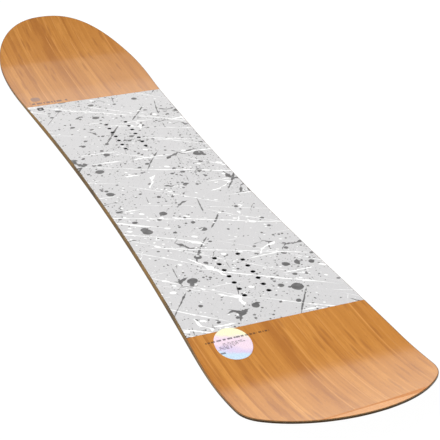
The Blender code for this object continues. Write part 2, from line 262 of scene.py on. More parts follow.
def inset(loop, distance, square_edges):
    """A closed anticlockwise loop of plan points, moved inwards except at its square edges."""
    outwards = []
    depths = []
    for index, point in enumerate(loop):
        along = (loop[(index + 1) % len(loop)] - point).normalized()
        outwards.append(Vector((along.y, -along.x)))
        depths.append(0.0 if index in square_edges else distance)
    moved = []
    for index, point in enumerate(loop):
        first, second = outwards[index - 1], outwards[index]
        first_depth, second_depth = depths[index - 1], depths[index]
        cosine = first.dot(second)
        if cosine > NEARLY_STRAIGHT:
            step = (first + second) / 2 * max(first_depth, second_depth)
        else:
            step = first * (first_depth - cosine * second_depth)
            step += second * (second_depth - cosine * first_depth)
            step /= 1 - cosine**2
        moved.append(point - step)
    return moved


def round_walls(low, high, low_rounding, high_rounding):
    """The wall of a slab from bottom to top, as loops of (inset, height curve, extra height)."""
    loops = []
    for step in range(ROUNDING_STEPS + 1):
        turn = math.pi / 2 * step / ROUNDING_STEPS
        lift = low_rounding * (1 - math.cos(turn))
        loops.append((low_rounding * (1 - math.sin(turn)), low, lift))
    for step in range(ROUNDING_STEPS + 1):
        turn = math.pi / 2 * step / ROUNDING_STEPS
        drop = high_rounding * (1 - math.sin(turn))
        loops.append((high_rounding * (1 - math.cos(turn)), high, -drop))
    return loops


def bridge(mesh_data, lower, upper, material_index=0):
    for index in range(len(lower)):
        following = (index + 1) % len(lower)
        corners = (lower[index], lower[following], upper[following], upper[index])
        mesh_data.faces.new(corners).material_index = material_index


def add_circle(mesh_data, centre, radius, z):
    circle = []
    for step in range(HOLE_SIDES):
        angle = 2 * math.pi * step / HOLE_SIDES
        x = centre.x + radius * math.cos(angle)
        y = centre.y + radius * math.sin(angle)
        circle.append(mesh_data.verts.new((x, y, z)))
    return circle


def pierce(mesh_data, corners, circle):
    """Closes the cell between four corners and a circle in it with four faces.

    The first corner is the one at 225 degrees, which is five eighths of the way round.
    """
    quarter = HOLE_SIDES // 4
    for side in range(4):
        start = (5 * quarter // 2 + side * quarter) % HOLE_SIDES
        arc = [circle[(start + step) % HOLE_SIDES] for step in range(quarter + 1)]
        mesh_data.faces.new([corners[side], corners[(side + 1) % 4], *reversed(arc)])


def cover(mesh_data, rows, holes, radius, z):
    """Closes a slab with faces from side to side, leaving the holes, and returns their rims."""
    rims = []
    for near, far in zip(rows, rows[1:]):
        for index in range(len(near) - 1):
            corners = [near[index], near[index + 1], far[index + 1], far[index]]
            low, high = corners[0].co, corners[2].co
            inside = [c for c in holes if low.x < c.x < high.x and low.y < c.y < high.y]
            if inside:
                rims.append(add_circle(mesh_data, inside[0], radius, z(inside[0].y)))
                pierce(mesh_data, corners, rims[-1])
            else:
                mesh_data.faces.new(list(dict.fromkeys(corners)))
    return rims


def add_slab(mesh_data, left, right, walls, columns=(), holes=(), hole_radius=0.0, rim_material=0):
    """Adds a closed slab between a left and a right line of plan points that pair up.

    Where the slab ends on the axis both lines share that point. Columns are the places, from
    left to right, of extra lines along the board, and each hole is alone in its cell.
    """
    start_shared = (left[0] - right[0]).length < HAIRLINE / 2
    end_shared = (left[-1] - right[-1]).length < HAIRLINE / 2
    start_line = [Vector((x, right[0].y)) for x in columns]
    end_line = [Vector((x, right[-1].y)) for x in columns]
    back = left[int(start_shared) : len(left) - int(end_shared)][::-1]
    plan = [*right, *end_line[::-1], *back, *start_line]
    turn = len(right) + len(end_line)
    square_edges = set()
    if not end_shared:
        square_edges.update(range(len(right) - 1, turn))
    if not start_shared:
        square_edges.update(range(turn + len(back) - 1, len(plan)))

    rings = []
    for distance, height, lift in walls:
        places = inset(plan, distance, square_edges)
        rings.append([mesh_data.verts.new((p.x, p.y, height(p.y) + lift)) for p in places])
    for lower, upper in zip(rings, rings[1:]):
        bridge(mesh_data, lower, upper, rim_material)

    rims = []
    for ring, wall, radius in (
        (rings[0], walls[0], hole_radius),
        (rings[-1], walls[-1], hole_radius + HOLE_ROUNDING),
    ):
        right_line = ring[: len(right)]
        left_line = ring[turn : turn + len(back)][::-1]
        if start_shared:
            left_line.insert(0, right_line[0])
        if end_shared:
            left_line.append(right_line[-1])
        rows = []
        for index, (first, last) in enumerate(zip(left_line, right_line)):
            if index == 0:
                between = ring[turn + len(back) :]
            elif index == len(right_line) - 1:
                between = ring[len(right) : turn][::-1]
            else:
                between = [mesh_data.verts.new((x, last.co.y, last.co.z)) for x in columns]
            rows.append([first, *between, last])
        rims.append(cover(mesh_data, rows, holes, radius, wall[1]))

    for bottom, top in zip(*rims):
        loops = [bottom]
        centre = sum((vertex.co for vertex in top), Vector()) / len(top)
        for step in range(ROUNDING_STEPS):
            turn_angle = math.pi / 2 * (1 - step / ROUNDING_STEPS)
            radius = hole_radius + HOLE_ROUNDING * (1 - math.sin(turn_angle))
            z = centre.z - HOLE_ROUNDING * (1 - math.cos(turn_angle))
            loops.append(add_circle(mesh_data, centre, radius, z))
        loops.append(top)
        for lower, upper in zip(loops, loops[1:]):
            bridge(mesh_data, lower, upper)


def make_piece(name, mesh, materials, replaced, place=(0.0, 0.0, 0.0)):
    if not mesh.materials:
        for material in materials:
            mesh.materials.append(material)
    piece = bpy.data.objects.new(name, mesh)
    piece.location = place
    bpy.context.scene.collection.objects.link(piece)
    even = piece.modifiers.new("even_shading", "WEIGHTED_NORMAL")
    even.keep_sharp = True
    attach(piece, "root")
    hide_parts(*replaced)
    return piece


def to_mesh(name, mesh_data):
    bmesh.ops.recalc_face_normals(mesh_data, faces=mesh_data.faces)
    mesh = bpy.data.meshes.new(name)
    mesh_data.to_mesh(mesh)
    mesh_data.free()
    mesh.shade_smooth()
    mesh.set_sharp_from_angle(angle=SHARP_ANGLE)
    return mesh


def make_slab(name, left, right, walls, materials, slot, replaced, **options):
    mesh_data = bmesh.new()
    add_slab(mesh_data, left, right, walls, **options)
    return make_piece(name, to_mesh(name, mesh_data), materials, replaced)


# Materials -----------------------------------------------------------------------------------


class Value:
    """A number in a material's node tree that takes part in plain sums."""

    def __init__(self, made, socket):
        self.made = made
        self.socket = socket

    def __add__(self, other):
        return self.made.math("ADD", self, other)

    def __sub__(self, other):
        return self.made.math("SUBTRACT", self, other)

    def __rsub__(self, other):
        return self.made.math("SUBTRACT", other, self)

    def __mul__(self, other):
        return self.made.math("MULTIPLY", self, other)

    def __pow__(self, other):
        return self.made.math("POWER", self, other)

    def __abs__(self):
        return self.made.math("ABSOLUTE", self)

    __radd__ = __add__
    __rmul__ = __mul__


class Made:
    """A material in the making. Each method adds shader nodes and returns what they give."""

    def __init__(self, name, constants):
        self.material = bpy.data.materials.new(name)
        self.material.use_nodes = True
        self.tree = self.material.node_tree
        self.shader = self.tree.nodes["Principled BSDF"]
        for socket, value in constants.items():
            self.shader.inputs[socket].default_value = value
        self.place = self.add("ShaderNodeTexCoord", {}).outputs["Object"]

    def add(self, kind, inputs, **settings):
        node = self.tree.nodes.new(kind)
        for setting, value in settings.items():
            setattr(node, setting, value)
        for key, value in inputs.items():
            self.feed(node.inputs[key], value)
        return node

    def feed(self, socket, value):
        if isinstance(value, Value):
            value = value.socket
        if isinstance(value, bpy.types.NodeSocket):
            self.tree.links.new(value, socket)
        else:
            socket.default_value = value

    def math(self, operation, *values):
        inputs = dict(enumerate(values))
        node = self.add("ShaderNodeMath", inputs, operation=operation)
        return Value(self, node.outputs[0])

    def both(self, first, second):
        return self.math("MAXIMUM", first, second)

    def vector_math(self, operation, *values):
        inputs = dict(enumerate(values))
        return self.add("ShaderNodeVectorMath", inputs, operation=operation).outputs[0]

    def stretched(self, vector, x, y, z=1.0):
        return self.vector_math("MULTIPLY", vector, (x, y, z))

    def moved(self, vector, x, y, z=0.0):
        return self.vector_math("ADD", vector, (x, y, z))

    def turned(self, vector, angle):
        inputs = {"Vector": vector, "Angle": angle}
        node = self.add("ShaderNodeVectorRotate", inputs, rotation_type="Z_AXIS")
        return node.outputs[0]

    def parts(self, vector):
        node = self.add("ShaderNodeSeparateXYZ", {"Vector": vector})
        return [Value(self, output) for output in node.outputs]

    def noise(self, vector, size, detail=2.0, roughness=0.5):
        """Smooth noise with features of about this size, from 0 to 1 round 0.5."""
        inputs = {
            "Vector": vector,
            "Scale": 1 / size,
            "Detail": detail,
            "Roughness": roughness,
        }
        return Value(self, self.add("ShaderNodeTexNoise", inputs).outputs["Fac"])

    def warped(self, vector, size, amount, detail=2.0):
        """The vector with a wobble of this size and amount added in all directions."""
        inputs = {"Vector": vector, "Scale": 1 / size, "Detail": detail}
        wobble = self.add("ShaderNodeTexNoise", inputs).outputs["Color"]
        centred = self.vector_math("SUBTRACT", wobble, (0.5, 0.5, 0.5))
        return self.vector_math("MULTIPLY_ADD", centred, (2 * amount,) * 3, vector)

    def cells(self, vector, size):
        """Distance to the nearest of many scattered points, and two random values of it."""
        inputs = {"Vector": vector, "Scale": 1 / size}
        node = self.add("ShaderNodeTexVoronoi", inputs, voronoi_dimensions="2D")
        split = self.add("ShaderNodeSeparateColor", {"Color": node.outputs["Color"]})
        distance = Value(self, node.outputs["Distance"]) * size
        return distance, Value(self, split.outputs[0]), Value(self, split.outputs[1])

    def strips(self, across, width, shift=0.0):
        """Strips of uneven width: distance to the strip's own line, and two random values."""
        inputs = {"W": across * (1 / width) + shift, "Scale": 1.0}
        node = self.add("ShaderNodeTexVoronoi", inputs, voronoi_dimensions="1D")
        split = self.add("ShaderNodeSeparateColor", {"Color": node.outputs["Color"]})
        distance = Value(self, node.outputs["Distance"]) * width
        return distance, Value(self, split.outputs[0]), Value(self, split.outputs[1])

    def step(self, value, low, high, start=0.0, end=1.0):
        """Smoothly from start, where the value is low, to end, where it is high."""
        inputs = {
            "Value": value,
            "From Min": low,
            "From Max": high,
            "To Min": start,
            "To Max": end,
        }
        node = self.add("ShaderNodeMapRange", inputs, interpolation_type="SMOOTHSTEP")
        return Value(self, node.outputs["Result"])

    def mix(self, share, first, second, blend="MIX"):
        node = self.add("ShaderNodeMix", {}, data_type="RGBA", blend_type=blend)
        self.feed(node.inputs["Factor"], share)
        for socket, value in zip(node.inputs[6:8], (first, second)):
            self.feed(socket, (*value, 1.0) if isinstance(value, tuple) else value)
        return node.outputs[2]

    def bump(self, height, distance, strength=1.0, below=None):
        inputs = {"Height": height, "Distance": distance, "Strength": strength}
        if below is not None:
            inputs["Normal"] = below
        return self.add("ShaderNodeBump", inputs).outputs["Normal"]

    def use(self, **sockets):
        names = {"colour": "Base Color", "roughness": "Roughness", "normal": "Normal"}
        for key, value in sockets.items():
            self.feed(self.shader.inputs[names.get(key, key)], value)
        return self.material


def colour(red, green, blue):
    """A colour given as it looks on a screen, from 0 to 255."""
    linear = []
    for value in (red, green, blue):
        share = value / 255
        linear.append(share / 12.92 if share <= 0.04045 else ((share + 0.055) / 1.055) ** 2.4)
    return tuple(linear)


# Runs of paint: angle, gap between their lines, length, thickness, share that shows and shift,
# and how well the white ones cover.
DARK_THROW = math.radians(57)
DARK_RUNS = (
    (DARK_THROW, 90 * MM, 90 * MM, 2.2 * MM, 0.32, 2.6),
    (DARK_THROW + 0.4, 130 * MM, 60 * MM, 1.9 * MM, 0.30, 7.3),
)
WHITE_THROW = math.radians(-33)
WHITE_RUNS = (
    (WHITE_THROW, 60 * MM, 300 * MM, 2.7 * MM, 0.36, 4.4, 1.0),
    (WHITE_THROW + 0.16, 74 * MM, 380 * MM, 1.8 * MM, 0.42, 9.2, 1.0),
    (WHITE_THROW - 0.15, 48 * MM, 260 * MM, 1.3 * MM, 0.36, 12.7, 0.9),
    (WHITE_THROW + 0.55, 90 * MM, 90 * MM, 2.2 * MM, 0.32, 15.1, 1.0),
)

# Drops of paint: spacing, largest radius, share that is there and shift.
DARK_DROPS = (
    (84 * MM, 12.5 * MM, 0.72, 0.83),
    (46 * MM, 7.2 * MM, 0.50, 1.1),
    (27 * MM, 4.2 * MM, 0.50, 1.7),
    (15 * MM, 2.6 * MM, 0.50, 2.3),
    (9.0 * MM, 1.7 * MM, 0.45, 3.1),
    (5.6 * MM, 1.0 * MM, 0.42, 4.7),
)
WHITE_DROPS = (
    (66 * MM, 6.5 * MM, 0.50, 5.2),
    (33 * MM, 3.8 * MM, 0.45, 5.9),
    (17 * MM, 2.2 * MM, 0.40, 6.7),
    (9.0 * MM, 1.5 * MM, 0.42, 8.3),
)

# Branching splats of paint: start, size of their net, thickness, share that shows and shift.
DARK_SPLATS = (
    ((0.52, 0.33), 80 * MM, 3.8 * MM, 0.13, 1.3),
    ((1.35, 0.71), 46 * MM, 2.4 * MM, 0.11, 5.1),
)
WHITE_SPLATS = ((0.70, 0.40), 110 * MM, 2.8 * MM, 0.17, 3.7)

# Printed lines of text are left as rows of dashes: middle station, height, start and end.
NOSE_ROW = (0.4072, 9.0 * MM, -0.129, -0.054)
TITLE_ROW = (-0.5345, 4.0 * MM, -0.125, -0.024)
SMALL_ROWS = [
    (-0.5437, 2.1 * MM, -0.101, -0.070),
    (-0.5468, 2.1 * MM, -0.105, -0.066),
    (-0.5499, 2.1 * MM, -0.108, -0.078),
    (-0.5530, 2.1 * MM, -0.109, -0.082),
    (-0.5561, 2.1 * MM, -0.111, -0.090),
    (-0.5650, 4.2 * MM, -0.121, -0.103),
]

# Two plain marks at the nose seam: middle x and y, half width and half height. The badge has a
# smaller pale patch inside it.
EMBLEM = (-0.1157, 0.4300, 9.8 * MM, 10.5 * MM)
BADGE = (-0.1190, 0.3765, 6.5 * MM, 8.0 * MM)
BADGE_CENTRE = (*BADGE[:2], 2.6 * MM, 3.2 * MM)

# A straight line is pressed into the tail: a point of it, its turn, and its least and greatest
# half width at the given distances along it.
PRESSED_PLACE = (0.0146, -0.7752)
PRESSED_TURN = math.radians(5.1)
PRESSED_HALF_WIDTHS = (1.6 * MM, 6.0 * MM)
PRESSED_SPAN = (-20 * MM, 120 * MM)


def droplets(made, place, size, largest, share, crowd=0.0):
    """Round drops, one at most in each cell of this size. Only a share of them is there."""
    distance, chance, measure = made.cells(place, size)
    there = made.step(chance + crowd, 1 - share, 1.01 - share)
    radius = (measure * measure * 0.65 + 0.35) * there * largest
    return made.step(radius - distance, -0.1 * MM, 0.25 * MM)


def thrown_runs(made, place, angle, gap, length, thickness, share, shift):
    """Thin broken runs of paint along an angle, and the distance to the nearest of them."""
    bent = made.warped(made.turned(place, -angle), 140 * MM, 9 * MM, detail=1.0)
    bent = made.warped(bent, 16 * MM, 0.9 * MM)
    along, across, _ = made.parts(bent)
    off, first, second = made.strips(across, gap, shift)
    inputs = {"X": along * (1 / length) + first * 40, "Y": second * 40 + shift}
    beat = made.noise(made.add("ShaderNodeCombineXYZ", inputs).outputs[0], 1.0, detail=1.0)
    there = made.step(beat, 0.62 - share * 0.3, 0.72 - share * 0.3)
    swelling = made.step(made.noise(bent, 13 * MM), 0.3, 0.72, 0.4, 1.5)
    width = there * swelling * (second * 0.7 + 0.3) * thickness
    return made.step(width - off, -0.2 * MM, 0.25 * MM), off + (1 - there) * gap


def splats(made, place, start, size, thickness, share, shift):
    """Branching strings of paint: pieces of a warped net that only show here and there."""
    place = made.moved(place, *start)
    bent = made.warped(made.moved(place, shift, -shift), 34 * MM, 15 * MM)
    inputs = {"Vector": bent, "Scale": 1 / size}
    net = made.add(
        "ShaderNodeTexVoronoi", inputs, voronoi_dimensions="2D", feature="DISTANCE_TO_EDGE"
    )
    off = Value(made, net.outputs["Distance"]) * size
    region = made.noise(made.moved(place, -shift, shift), 75 * MM)
    there = made.step(region, 0.72 - share, 0.80 - share)
    swelling = made.step(made.noise(bent, 15 * MM), 0.25, 0.75, 0.25, 1.6)
    return made.step(there * swelling * thickness - off, -0.15 * MM, 0.25 * MM)


def dashes(made, place, row, dash):
    """A row of dashes of uneven length along x."""
    station, height, start, end = row
    x, y, _ = made.parts(place)
    inside = made.step(abs(y - station), height / 2, height / 2 - 0.3 * MM)
    inside = inside * made.step(x, start, start + 0.3 * MM)
    inside = inside * made.step(x, end, end - 0.3 * MM)
    inputs = {"X": x * (1 / dash), "Y": station * 900}
    beat = made.noise(made.add("ShaderNodeCombineXYZ", inputs).outputs[0], 1.0, detail=1.0)
    return inside * made.step(beat, 0.44, 0.5)


def patch(made, place, mark, squareness):
    """A flat mark: an ellipse at squareness 2, and nearer to a rectangle above that."""
    middle_x, middle_y, half_across, half_along = mark
    x, y, _ = made.parts(made.moved(place, -middle_x, -middle_y))
    across = abs(x * (1 / half_across)) ** squareness
    along = abs(y * (1 / half_along)) ** squareness
    return made.step(across + along, 1.0, 0.85)


def make_panel_material():
    made = Made("splashed_panel", {"Specular IOR Level": 0.35})
    place = made.place
    ragged = made.warped(made.warped(place, 24 * MM, 3.2 * MM), 5 * MM, 0.6 * MM)

    dark_place = made.turned(place, -DARK_THROW)
    bands = made.noise(made.stretched(dark_place, 0.35, 1.0), 85 * MM, detail=1.0)
    crowd = made.step(bands, 0.36, 0.66, -0.34, 0.3)
    dark = made.both(*(splats(made, place, *layer) for layer in DARK_SPLATS))
    for run in DARK_RUNS:
        layer, _ = thrown_runs(made, place, *run)
        dark = made.both(dark, layer)
    for size, largest, share, shift in DARK_DROPS:
        shape = made.moved(ragged, shift, -shift)
        dark = made.both(dark, droplets(made, shape, size, largest, share, crowd))

    white = splats(made, place, *WHITE_SPLATS)
    near_run = None
    for *run, cover_share in WHITE_RUNS:
        layer, off = thrown_runs(made, place, *run)
        white = made.both(white, layer * cover_share)
        near_run = off if near_run is None else made.math("MINIMUM", near_run, off)
    crowd = made.step(near_run, 20 * MM, 3 * MM, -0.28, 0.2)
    stretched = made.stretched(made.turned(ragged, -WHITE_THROW), 0.6, 1.0)
    for size, largest, share, shift in WHITE_DROPS:
        shape = made.moved(stretched, shift, shift)
        white = made.both(white, droplets(made, shape, size, largest, share, crowd))

    fleck = made.noise(place, 2.2 * MM, detail=3.0)
    shade = made.step(fleck, 0.3, 0.7)
    ground = made.mix(shade, colour(203, 203, 205), colour(210, 210, 212))
    paint = made.noise(place, 9 * MM, detail=3.0)
    grey = made.mix(made.step(paint, 0.3, 0.7), colour(92, 92, 93), colour(112, 112, 113))
    painted = made.mix(dark, ground, grey)
    painted = made.mix(white, painted, colour(250, 251, 252))
    painted = made.mix(patch(made, place, BADGE, 6.0), painted, colour(26, 26, 30))
    middle = patch(made, place, BADGE_CENTRE, 2.0) * 0.7
    painted = made.mix(middle, painted, colour(210, 210, 214))
    grain = made.noise(place, 0.6 * MM, detail=2.0)
    film = made.both(dark, white)
    roughness = made.step(grain, 0.2, 0.8, 0.34, 0.44)
    normal = made.bump(film, 0.03 * MM, 0.3, made.bump(grain, 0.02 * MM, 0.4))
    return made.use(colour=painted, roughness=roughness, normal=normal)


def add_wood(made, strip, tones, fibre):
    """Lengthwise strips of wood along y with fine fibres: a colour, and the fibre's height."""
    drift = made.warped(made.place, 300 * MM, 2 * MM, detail=1.0)
    x, _, _ = made.parts(drift)
    _, own_tone, _ = made.strips(x, strip)
    _, narrow_tone, _ = made.strips(x, strip * 0.37, 3.3)
    broad = made.noise(made.stretched(drift, 1.0, 0.09), strip * 1.5, detail=2.0)
    fine_fibre = made.noise(made.stretched(drift, 1.0, 0.03), fibre, detail=3.0)
    tone = own_tone * 0.3 + narrow_tone * 0.2 + broad * 0.45 + fine_fibre * 0.4
    dark, middle, light = tones
    shade = made.mix(made.step(tone, 0.40, 0.68), dark, middle)
    shade = made.mix(made.step(tone, 0.68, 0.96), shade, light)
    return shade, fine_fibre


def make_veneer_material():
    constants = {
        "Coat Weight": 1.0,
        "Coat Roughness": 0.13,
        "Coat IOR": 1.6,
        "Specular IOR Level": 0.2,
    }
    made = Made("wood_veneer", constants)
    tones = (colour(178, 110, 34), colour(197, 129, 48), colour(213, 146, 64))
    shade, fibre = add_wood(made, 10 * MM, tones, 0.9 * MM)

    x, _, _ = made.parts(made.warped(made.place, 300 * MM, 2 * MM, detail=1.0))
    distance, chance, strength = made.strips(x, 19 * MM, 7.7)
    glint = made.step(distance, 1.8 * MM, 0.3 * MM) * made.step(chance, 0.3, 0.6)
    fading = made.noise(made.stretched(made.place, 1.0, 0.12), 22 * MM, detail=1.0)
    glint = glint * made.step(fading, 0.4, 0.62, 0.1, 1.0)
    shade = made.mix(glint * (strength * 0.4 + 0.3), shade, colour(230, 166, 88))
    knots = made.stretched(made.warped(made.place, 30 * MM, 2 * MM), 1.0, 0.11)
    distance, chance, _ = made.cells(knots, 10 * MM)
    knot = made.step(distance, 3.4 * MM, 1.0 * MM) * made.step(chance, 0.68, 0.8)
    shade = made.mix(knot * 0.5, shade, colour(160, 94, 30))
    pores = made.stretched(made.place, 1.0, 0.06)
    distance, chance, _ = made.cells(pores, 2.0 * MM)
    pore = made.step(distance, 0.35 * MM, 0.1 * MM) * made.step(chance, 0.5, 0.6)
    shade = made.mix(pore * 0.35, shade, colour(140, 82, 34))

    title = dashes(made, made.place, TITLE_ROW, 3.4 * MM) * 0.75
    shade = made.mix(title, shade, colour(70, 46, 30))
    nose_row = dashes(made, made.place, NOSE_ROW, 4.0 * MM) * 0.9
    shade = made.mix(nose_row, shade, colour(104, 54, 24))
    emblem = patch(made, made.place, EMBLEM, 3.0) * 0.75
    shade = made.mix(emblem, shade, colour(132, 98, 86))

    # The pressed line crosses the tail just before its tip and widens to the right.
    x, y = PRESSED_PLACE
    pressed = made.turned(made.moved(made.place, -x, -y), -PRESSED_TURN)
    along, beyond, _ = made.parts(pressed)
    reach = made.step(along, *PRESSED_SPAN, *PRESSED_HALF_WIDTHS)
    line = made.step(abs(beyond) - reach, 0.6 * MM, -0.8 * MM)
    shade = made.mix(made.step(beyond, 0.0, -3 * MM) * 0.6, shade, colour(222, 150, 70))
    shade = made.mix(line * 0.8, shade, colour(190, 114, 36))
    made.feed(made.shader.inputs["Coat Weight"], 1.0 - line * 0.6)

    ripple = made.noise(made.stretched(made.place, 1.0, 0.1), 6 * MM, detail=2.0)
    roughness = made.step(fibre, 0.2, 0.8, 0.42, 0.58)
    normal = made.bump(fibre + ripple * 2.0, 0.05 * MM, 0.3)
    made.feed(made.shader.inputs["Coat Normal"], made.bump(ripple, 0.03 * MM, 0.3))
    return made.use(colour=shade, roughness=roughness, normal=normal)


def make_rim_material():
    made = Made("sealed_rim", {"Specular IOR Level": 0.15})
    grain = made.noise(made.stretched(made.place, 1.0, 1.0, 6.0), 1.5 * MM, detail=3.0)
    shade = made.mix(grain, colour(104, 64, 28), colour(148, 98, 46))
    normal = made.bump(grain, 0.03 * MM, 0.5)
    return made.use(colour=shade, roughness=made.step(grain, 0.2, 0.8, 0.4, 0.6), normal=normal)


def make_sidewall_material():
    made = Made("sanded_sidewall", {"Specular IOR Level": 0.12})
    scratch = made.noise(made.stretched(made.place, 4.0, 0.05, 4.0), 0.7 * MM, detail=4.0)
    cloud = made.noise(made.stretched(made.place, 1.0, 0.3, 1.0), 16 * MM, detail=3.0)
    tone = scratch * 0.3 + cloud * 0.7
    shade = made.mix(made.step(tone, 0.35, 0.65), colour(62, 45, 14), colour(120, 88, 30))
    roughness = made.step(scratch, 0.25, 0.75, 0.45, 0.65)
    normal = made.bump(scratch, 0.03 * MM, 0.6)
    return made.use(colour=shade, roughness=roughness, normal=normal)


def make_spacer_material():
    made = Made("tip_spacer", {"Specular IOR Level": 0.12})
    scratch = made.noise(made.stretched(made.place, 1.0, 1.0, 5.0), 0.8 * MM, detail=4.0)
    shade = made.mix(made.step(scratch, 0.3, 0.7), colour(48, 32, 16), colour(72, 50, 28))
    roughness = made.step(scratch, 0.25, 0.75, 0.45, 0.65)
    normal = made.bump(scratch, 0.03 * MM, 0.6)
    return made.use(colour=shade, roughness=roughness, normal=normal)


def make_steel_material():
    made = Made("ground_steel_with_painted_shade", {"Metallic": 1.0})
    grind = made.noise(made.stretched(made.place, 1.0, 0.08, 1.0), 0.35 * MM, detail=3.0)
    stain_and_shade = made.noise(made.place, 14 * MM, detail=3.0)
    # Dark brown rather than grey steel: painted shade standing in for the shadow along the board's
    # lower edge, varied at random by stains.
    shade = made.mix(made.step(stain_and_shade, 0.3, 0.75), colour(62, 48, 30), colour(86, 68, 46))
    shade = made.mix(made.step(grind, 0.45, 0.8) * 0.4, shade, colour(48, 38, 26))
    roughness = made.step(grind, 0.2, 0.8, 0.26, 0.42)
    normal = made.bump(grind, 0.01 * MM, 0.5)
    return made.use(colour=shade, roughness=roughness, normal=normal)


def make_insert_material():
    made = Made("blackened_steel_with_painted_shade", {"Metallic": 0.8})
    stain_and_shade = made.noise(made.place, 1.6 * MM, detail=3.0)
    # Blackened steel, darkened further: painted shade standing in for the shadow down the holes
    # over the inserts.
    shade = made.mix(made.step(stain_and_shade, 0.3, 0.7), colour(20, 20, 22), colour(40, 40, 42))
    return made.use(colour=shade, roughness=made.step(stain_and_shade, 0.2, 0.8, 0.38, 0.55))


def make_base_material():
    constants = {"Coat Weight": 0.15, "Coat Roughness": 0.3, "Specular IOR Level": 0.4}
    made = Made("stone_ground_base", constants)
    swirl = made.turned(made.place, math.radians(8))
    grooves = made.noise(made.stretched(swirl, 1.0, 0.02), 0.5 * MM, detail=3.0)
    crossed = made.turned(made.place, math.radians(-8))
    cross_grooves = made.noise(made.stretched(crossed, 1.0, 0.02), 0.5 * MM, detail=3.0)
    structure = grooves * 0.5 + cross_grooves * 0.5
    cloud = made.noise(made.place, 90 * MM, detail=3.0)
    shade = made.mix(made.step(cloud, 0.3, 0.7), colour(30, 30, 32), colour(38, 38, 40))
    shade = made.mix(made.step(structure, 0.52, 0.68), shade, colour(58, 58, 60))
    roughness = made.step(structure, 0.3, 0.7, 0.36, 0.52)
    normal = made.bump(structure, 0.03 * MM, 0.6)
    return made.use(colour=shade, roughness=roughness, normal=normal)


def make_laminate_material():
    made = Made("glass_laminate", {"Coat Weight": 0.2})
    x, y, _ = made.parts(made.place)
    threads = 2 * math.pi / (2.4 * MM)
    warp = made.math("SINE", (x + y) * threads)
    weft = made.math("SINE", (x - y) * threads)
    weave = made.both(warp, weft)
    shade = made.mix(made.step(weave, -0.2, 1.0), colour(74, 66, 40), colour(150, 138, 96))
    normal = made.bump(weave, 0.05 * MM, 0.5)
    return made.use(colour=shade, roughness=made.step(weave, -1, 1, 0.5, 0.35), normal=normal)


def make_core_material(name, tones):
    made = Made(name, {})
    shade, fibre = add_wood(made, 30 * MM, tones, 0.8 * MM)
    normal = made.bump(fibre, 0.05 * MM, 0.5)
    return made.use(colour=shade, roughness=made.step(fibre, 0.2, 0.8, 0.55, 0.75), normal=normal)


def make_sticker_material():
    low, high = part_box("sticker")
    centre = (low + high) / 2
    reach = (high.y - low.y) / 2
    constants = {"Coat Weight": 0.6, "Coat Roughness": 0.1, "Specular IOR Level": 0.6}
    made = Made("pearly_film", constants)
    drift = made.noise(made.place, 22 * MM, detail=2.0)
    x, y, _ = made.parts(made.moved(made.place, -centre.x, -centre.y))
    along = (y + x * 0.55) * (1 / reach) + (drift - 0.5) * 0.7
    shade = made.mix(made.step(along, 0.3, 0.75), colour(246, 222, 240), colour(252, 250, 208))
    shade = made.mix(made.step(along, -0.05, -0.5), shade, colour(222, 206, 240))
    shade = made.mix(made.step(along, -0.45, -0.8), shade, colour(200, 228, 250))
    pearl = made.noise(made.place, 1.2 * MM, detail=3.0)
    shade = made.mix(made.step(pearl, 0.35, 0.7) * 0.25, shade, colour(255, 255, 255))
    print_ink = dashes(made, made.place, TITLE_ROW, 3.4 * MM)
    for row in SMALL_ROWS:
        print_ink = made.both(print_ink, dashes(made, made.place, row, 1.8 * MM) * 0.9)
    shade = made.mix(print_ink * 0.8, shade, colour(60, 50, 62))
    roughness = made.step(pearl, 0.2, 0.8, 0.2, 0.34)
    return made.use(colour=shade, roughness=roughness, normal=made.bump(drift, 0.05 * MM, 0.5))


# The pieces ----------------------------------------------------------------------------------


def build_topsheets(veneer, panel, rim, sidewall):
    """Three sheets that form the deck: veneer with a sealed border, and a bevelled panel."""
    deck = below_deck(0.0)
    under = below_deck(TOPSHEET_THICKNESS + GROWTH)
    sealed_walls = [*round_walls(under, deck, 0.0, DECK_ROUNDING), (SEALED_BORDER, deck, 0.0)]
    bevelled_walls = [(0.0, under, 0.0), (SIDEWALL_BEVEL, deck, 0.0)]
    tail_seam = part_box("topsheet_centre_panel")[0].y
    nose_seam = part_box("topsheet_centre_panel")[1].y

    tail = side_between(side_stations[0], tail_seam - HAIRLINE)
    nose = side_between(nose_seam + HAIRLINE, side_stations[-1])
    for name, right, node in (
        ("veneer_deck_tail", tail, "topsheet_tail_veneer"),
        ("veneer_deck_nose", nose, "topsheet_nose_veneer"),
    ):
        make_slab(
            name,
            mirrored(right),
            right,
            sealed_walls,
            [veneer, rim],
            "veneer",
            [node],
            rim_material=1,
        )

    # Beside the packs the panel's rows lie half way between the holes.
    centres = insert_centres()
    packs = [[c.y for c in centres if c.y < 0], [c.y for c in centres if c.y > 0]]
    half_pitch = INSERT_PITCH / 2
    stations = set()
    for pack in packs:
        stations.update(round(y + side * half_pitch, 5) for y in pack for side in (-1, 1))
    for point in side_between(tail_seam, nose_seam):
        if not any(min(p) - INSERT_PITCH < point.y < max(p) + INSERT_PITCH for p in packs):
            stations.add(point.y)
    right = [Vector((half_width(y), y)) for y in sorted(stations)]
    row = max(c.x for c in centres)
    columns = [-row - half_pitch, -row + half_pitch, row - half_pitch, row + half_pitch]
    make_slab(
        "printed_panel",
        mirrored(right),
        right,
        bevelled_walls,
        [panel, sidewall],
        "panel",
        ["topsheet_centre_panel"],
        columns=columns,
        holes=centres,
        hole_radius=HOLE_RADIUS,
        rim_material=1,
    )


